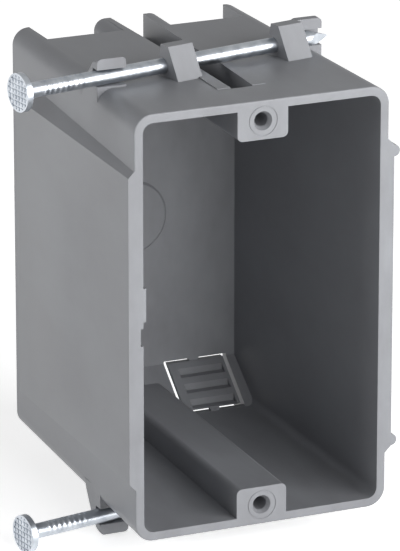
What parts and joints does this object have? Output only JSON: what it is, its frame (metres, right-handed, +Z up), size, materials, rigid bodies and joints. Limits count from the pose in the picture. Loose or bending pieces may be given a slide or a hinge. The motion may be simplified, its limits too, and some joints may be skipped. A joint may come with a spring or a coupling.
{
  "type": "new work outlet box",
  "caption": "Moulded PVC wall box, open at the front, with device-screw bosses, louvred cable clamp flaps in the back corners and captive nails above and below.",
  "frame": {"origin": "midway between the two device-screw holes, in the plane of the front rim", "axes": "+X towards the stud, +Y back from the open front into the wall, +Z up"},
  "size_m": [0.0776, 0.0722, 0.1046],
  "materials": {
    "pvc": "grey moulded PVC, light satin",
    "zinc": "bright zinc plate"
  },
  "bodies": {
    "root": {"box_body": "pvc", "upper_nail": "zinc", "lower_nail": "zinc"}
  },
  "joints": []
}
